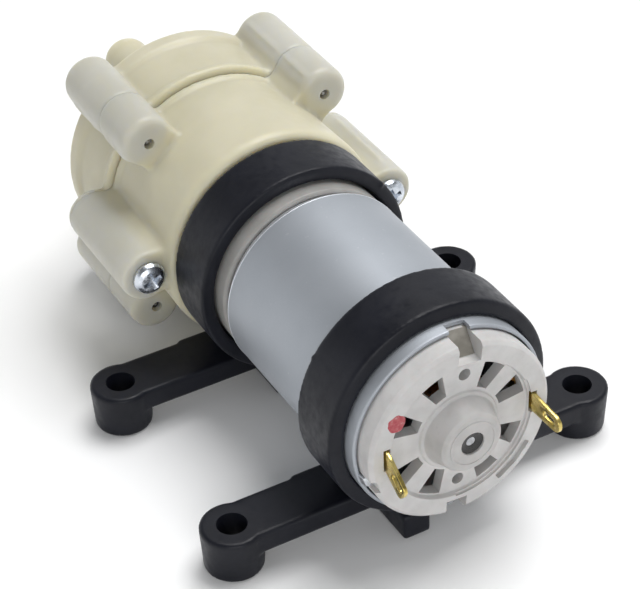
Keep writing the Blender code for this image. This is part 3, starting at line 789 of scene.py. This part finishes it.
def pan_head(name, node, x, z, seat, tip, facing):
    """A screw with a domed head and a cross recess; facing 1 puts its tip to the front."""
    dome = [(0.0, -1.5), (0.9, -1.47), (1.6, -1.32), (2.1, -1.0), (2.36, -0.55), (2.4, -0.2),
            (2.3, 0.0)]
    thread = 0.98
    profile = [(radius, seat + facing * depth) for radius, depth in dome]
    profile += [(thread, seat), (thread, tip - facing * 0.8), (0.0, tip)]
    made = lathe(name, profile, 0.12, 64, x, z, closed=False)
    cut(made, [cross_arm(x, z, seat, facing, degrees) for degrees in (18, 108)])
    add_bevel(made, 0.06, 2, 40)
    shade(made, 38)
    dress(made, "screw_steel", node=node)


def screw_tip(name, x, z):
    """A head screw's point, down in its boss's rear end, in near-black steel as painted shade in
    the hole.
    """
    low, high, radius = 54.15, 55.4, 0.72
    made = lathe(name, [(0.0, low), (0.25, low + 0.05), (radius, low + 0.6), (radius, high),
                        (0.0, high)], 0.05, 32, x, z, closed=False)
    shade(made, 40)
    dress(made, "screw_steel", TIP_SHADE_STEEL)


def screws():
    for side, word in ((-1, "left"), (1, "right")):
        pan_head("side_pan_" + word, "side_screw_" + word, side * EAR_PITCH, 0.0,
                 EAR_REAR - 0.05, 62.1, 1)
    for number, degrees in enumerate(CORNER_ANGLES, 1):
        x, z = polar(CORNER_PITCH, degrees)
        pan_head("head_pan_%d" % number, "head_screw_%d" % number, x, z,
                 CORNER_FRONT + 0.05, 55.2, -1)
        screw_tip("screw_tip_%d" % number, x, z)


# Pump head ----------------------------------------------------------------------------

def boss(pitch, degrees, low, high, rear_rounded=False, front_rounded=False):
    """A moulded screw boss and its web, with either end rounded or left nearly sharp."""
    x, z = polar(pitch, degrees)
    rounded, sharp = 1.5, 0.05
    rear = rounded if rear_rounded else sharp
    front = rounded if front_rounded else sharp
    profile = [(0.0, low)]
    for degree in range(0, 91, 15):
        inwards, level = polar(1.0, degree)
        profile.append((BOSS_RADIUS - rear + rear * level, low + rear * 0.7 * (1 - inwards)))
    for degree in range(0, 91, 15):
        inwards, level = polar(1.0, degree)
        profile.append((BOSS_RADIUS - front + front * inwards, high - front * 0.7 * (1 - level)))
    profile.append((0.0, high))
    start = low + (0.5 if rear_rounded else 0.0)
    stop = high - (0.3 if front_rounded else 0.0)
    return [lathe("boss", profile, 0, 56, x, z, closed=False),
            bar("web", (14.9, pitch), (start, stop), (-3.35, 3.35), turn=degrees)]


def mould_line(pitch, degrees, low, high):
    """A thin uneven flash ridge down a boss's flank, faded out at both ends."""
    x, z = polar(pitch, degrees)
    over, up = polar(BOSS_RADIUS + 0.04, degrees + 82)
    rings, corners = 26, 8
    verts = []
    for i in range(rings):
        t = i / (rings - 1)
        station = low + (high - low) * t
        swell = 0.36 + 0.18 * noise.noise((station * 0.9, degrees, 1.0))
        swell *= min(1.0, 6.0 * t + 0.15, 6.0 * (1 - t) + 0.15)
        for k in range(corners):
            a, b = polar(swell, 360 * k / corners)
            verts.append((x + over + a, station, z + up + b))
    last = corners * rings - 1
    faces = [tuple(range(corners)), tuple(range(last, last - corners, -1))]
    for start in range(0, last - corners, corners):
        for k in range(corners):
            n = (k + 1) % corners
            faces.append((start + k, start + n, start + corners + n, start + corners + k))
    return new_object("mould_line", verts, faces)


def screw_passage(pitch, degrees, low, high, radius=1.05):
    """A screw's hole, narrower at its rear end."""
    x, z = polar(pitch, degrees)
    rear, front, narrow = low - 2.0, high + 2.0, 0.8
    return lathe("passage", [
        (0.0, rear), (narrow, rear), (narrow, low + 1.4), (radius, low + 1.6), (radius, front),
        (0.0, front),
    ], 0, 32, x, z, closed=False)


def head_rear():
    """The housing next to the motor: a drum, the rear halves of the corner bosses, two ears."""
    front = SPLIT - SPLIT_GAP
    made = lathe("head_rear_shell", [
        (15.9, front), (DRUM_RADIUS, DRUM_REAR + 1.2), (DRUM_RADIUS - 0.4, DRUM_REAR + 0.3),
        (15.4, DRUM_REAR), (11.6, DRUM_REAR), (11.6, DRUM_REAR - 3.0), (10.2, DRUM_REAR - 3.0),
        (10.2, 44.9), (HEAD_INNER, 45.9), (HEAD_INNER, front),
    ], 0.3)
    solids = []
    for pitch, degrees, low, _ in CORNERS:
        solids += boss(pitch, degrees, low, front, rear_rounded=True)
        solids.append(mould_line(pitch, degrees, low + 0.8, SPLIT - 0.1))
    for pitch, degrees, low, _ in EARS:
        solids += boss(pitch, degrees, low, front)
        solids.append(mould_line(pitch, degrees, low + 0.8, SPLIT - 0.1))
        solids.append(bar("ear_block", (14.9, 20.6), (low, front), (-3.6, 3.6), 0.9, degrees))
    solids.append(lathe("ridge", [(15.4, 61.2), (16.35, 61.35), (16.35, front), (15.4, front)],
                        0))
    holes = [screw_passage(*corner) for corner in CORNERS]
    holes += [screw_passage(pitch, degrees, low - 5.0, high) for pitch, degrees, low, high in EARS]
    mould(made, solids, holes, HEAD_VOXEL, 9)
    shade(made, 50)
    dress(made, "head_plastic", node="pump_housing")


def nozzle(x, z):
    return lathe("nozzle", [
        (0.0, 73.0), (4.1, 73.4), (3.6, 75.2), (3.3, 80.6), (3.45, 81.2), (3.3, 82.3),
        (2.75, NOZZLE_TIP - 0.05), (0.0, NOZZLE_TIP),
    ], 0.3, 64, x, z, closed=False)


def head_front():
    """The cover: a rimmed drum with the front halves of the bosses and two hose nozzles."""
    rear = SPLIT + SPLIT_GAP
    boss_rear = SPLIT - 0.3
    floor = 65.4
    made = lathe("head_front_shell", [
        (5.4, COVER_FRONT), (COVER_RADIUS - 0.7, COVER_FRONT), (COVER_RADIUS, 73.8),
        (COVER_RADIUS, 71.6), (17.1, 71.0), (16.95, 63.6), (17.3, 63.2), (17.3, rear),
        (14.9, rear), (14.9, floor), (HEAD_INNER, floor), (HEAD_INNER, 72.4), (5.4, 72.4),
        (5.4, floor), (4.2, floor), (4.2, 71.4), (NOZZLE_BORE, 72.4), (NOZZLE_BORE, COVER_FRONT),
    ], 0.2)
    solids = []
    for pitch, degrees, _, high in CORNERS:
        solids += boss(pitch, degrees, boss_rear, high, front_rounded=True)
        solids.append(mould_line(pitch, degrees, SPLIT + 0.1, high - 1.2))
    for pitch, degrees, _, high in EARS:
        solids += boss(pitch, degrees, boss_rear, high, front_rounded=True)
    bores = [screw_passage(*corner) for corner in CORNERS]
    bores += [screw_passage(*ear, 0.95) for ear in EARS]
    for x, z in NOZZLES:
        solids.append(nozzle(x, z))
        bores.append(lathe("bore", [(0.0, 70.4), (NOZZLE_BORE, 70.4), (NOZZLE_BORE, 90.0),
                                    (0.0, 90.0)], 0, 40, x, z, closed=False))
    mould(made, solids, bores, HEAD_VOXEL, 9)
    shade(made, 50)
    dress(made, "head_plastic", node="front_cover")


def collar():
    """The grey ring between the can and the head, with a rear wall round the can's neck."""
    made = lathe("collar_shell", [
        (COLLAR_RADIUS, COLLAR_FRONT), (COLLAR_RADIUS, COLLAR_REAR + 0.35),
        (COLLAR_RADIUS - 0.35, COLLAR_REAR), (5.3, COLLAR_REAR), (5.3, COLLAR_REAR + 2.2),
        (COLLAR_RADIUS - 1.4, COLLAR_REAR + 2.2), (COLLAR_RADIUS - 1.4, COLLAR_FRONT),
    ], 0.15, 192)
    shade(made, 40)
    dress(made, "collar_plastic", node="motor_collar")


# Straps -------------------------------------------------------------------------------

def flash_nib(radius, degrees, station, size):
    """A torn scrap of moulding flash on a ring."""
    x, z = polar(radius, degrees)
    steps = 9
    verts = []
    for i in range(steps):
        angle = 2.0 * math.pi * i / steps
        reach = size * (0.75 + 0.4 * noise.noise((x * 0.9 + i, station * 0.9, z * 0.9)))
        verts.append((x + reach * math.cos(angle), station + 0.5 * reach * math.sin(2.3 * angle),
                      z + reach * math.sin(angle)))
    verts += [(x, station - size, z), (x, station + size, z)]
    faces = []
    for i in range(steps):
        j = (i + 1) % steps
        faces += [(i, j, steps), (j, i, steps + 1)]
    return new_object("nib", verts, faces)


def strap(name, node, rear, foot_offset, slope, nib):
    """A moulded ring with two flat arms and drilled, tapered feet.

    The slope is how far the ring's rear face leans back towards its bore.
    """
    front = rear + STRAP_WIDTH
    middle = rear + foot_offset
    made = lathe(name, [
        (STRAP_RADIUS, front), (STRAP_RADIUS, rear), (STRAP_INNER, rear - slope),
        (STRAP_INNER, front),
    ], 0.3, 192)
    solids = [bar("lug", LUG_X, (rear - 1.3, rear + 7.0), LUG_Z, 0.35), nib]
    clear_radius, clear_rear = STRAP_RADIUS + 1.0, front + 0.02
    cutters = [lathe("clearance", [
        (0.0, clear_rear), (clear_radius, clear_rear), (clear_radius, front + 8.0),
        (0.0, front + 8.0),
    ], 0, closed=False)]
    for side in (-1, 1):
        foot_x = side * FOOT_X
        solids.append(slab("arm", [
            (side * 7.2, middle - ARM_HALF), (foot_x - side, middle - ARM_HALF),
            (foot_x, middle), (foot_x - side, middle + ARM_HALF),
            (side * 15.9, middle + ARM_HALF), (side * 15.6, middle + SHOULDER_HALF),
            (side * 7.2, middle + SHOULDER_HALF),
        ], ARM_LOW, ARM_TOP, bevel=0.35))
        solids.append(upright("foot", [
            (0.0, FLOOR), (3.95, FLOOR), (4.28, ARM_TOP + 0.02), (0.0, ARM_TOP + 0.02),
        ], foot_x, middle, 0.45))
        cutters.append(upright("bore", [(0.0, FLOOR - 1.8), (1.95, FLOOR - 1.8), (2.05, -10.0),
                                        (0.0, -10.0)], foot_x, middle))
    mould(made, solids, cutters, STRAP_VOXEL, 3)
    shade(made, 50)
    dress(made, "strap_rubber", node=node)


def straps():
    strap("strap_rear", "rear_strap", REAR_STRAP, REAR_FEET, 0.5,
          flash_nib(15.75, 148, 8.1, 0.5))
    strap("strap_front", "front_strap", FRONT_STRAP, FRONT_FEET, 0.1,
          flash_nib(15.6, 38, 34.6, 0.55))


# Studio -------------------------------------------------------------------------------

def camera():
    data = bpy.data.cameras.new("camera")
    data.lens = CAMERA_LENS
    data.sensor_width = SENSOR_WIDTH
    data.clip_start = 0.01
    made = bpy.data.objects.new("camera", data)
    bpy.context.scene.collection.objects.link(made)
    made.location = placed(*CAMERA_PLACE)
    made.rotation_euler = [math.radians(angle) for angle in CAMERA_ANGLES]
    bpy.context.scene.camera = made


def softbox(name, place, target, width, height, watts):
    data = bpy.data.lights.new(name, "AREA")
    data.shape = "RECTANGLE"
    data.size = width
    data.size_y = height
    data.energy = watts
    lamp = bpy.data.objects.new(name, data)
    bpy.context.scene.collection.objects.link(lamp)
    lamp.location = place
    lamp.rotation_euler = (Vector(target) - Vector(place)).to_track_quat("-Z", "Y").to_euler()


def sky():
    """A light tent: bright walls near the floor, dimmer overhead."""
    world = bpy.data.worlds.new("studio")
    world.use_nodes = True
    nodes, links = world.node_tree.nodes, world.node_tree.links
    place = nodes.new("ShaderNodeTexCoord")
    split = nodes.new("ShaderNodeSeparateXYZ")
    links.new(place.outputs["Generated"], split.inputs[0])
    spread = nodes.new("ShaderNodeMapRange")
    spread.interpolation_type = "SMOOTHSTEP"
    spread.inputs["From Min"].default_value = WALL_TOP
    spread.inputs["From Max"].default_value = CEILING_EDGE
    spread.inputs["To Min"].default_value = WALL_LIGHT
    spread.inputs["To Max"].default_value = CEILING_LIGHT
    links.new(split.outputs["Z"], spread.inputs["Value"])
    links.new(spread.outputs["Result"], nodes["Background"].inputs["Strength"])
    nodes["Background"].inputs["Color"].default_value = SKY_TINT
    bpy.context.scene.world = world
    bpy.context.scene.view_settings.view_transform = "Standard"


def white_floor():
    half = FLOOR_HALF
    mesh = bpy.data.meshes.new("floor")
    mesh.from_pydata([(-half, -half, 0), (half, -half, 0), (half, half, 0), (-half, half, 0)],
                     [], [(0, 1, 2, 3)])
    floor = bpy.data.objects.new("floor", mesh)
    bpy.context.scene.collection.objects.link(floor)
    floor.data.materials.append(floor_paint().material)


camera()
sky()
for lamp in LAMPS:
    softbox(*lamp)
white_floor()
dress_carried_nodes()
motor_can()
can_edge()
crimp_tabs()
end_cap()
notch_floor()
bore_shade_ring()
hub_ring()
ink_dot()
terminals()
screws()
collar()
head_rear()
head_front()
straps()
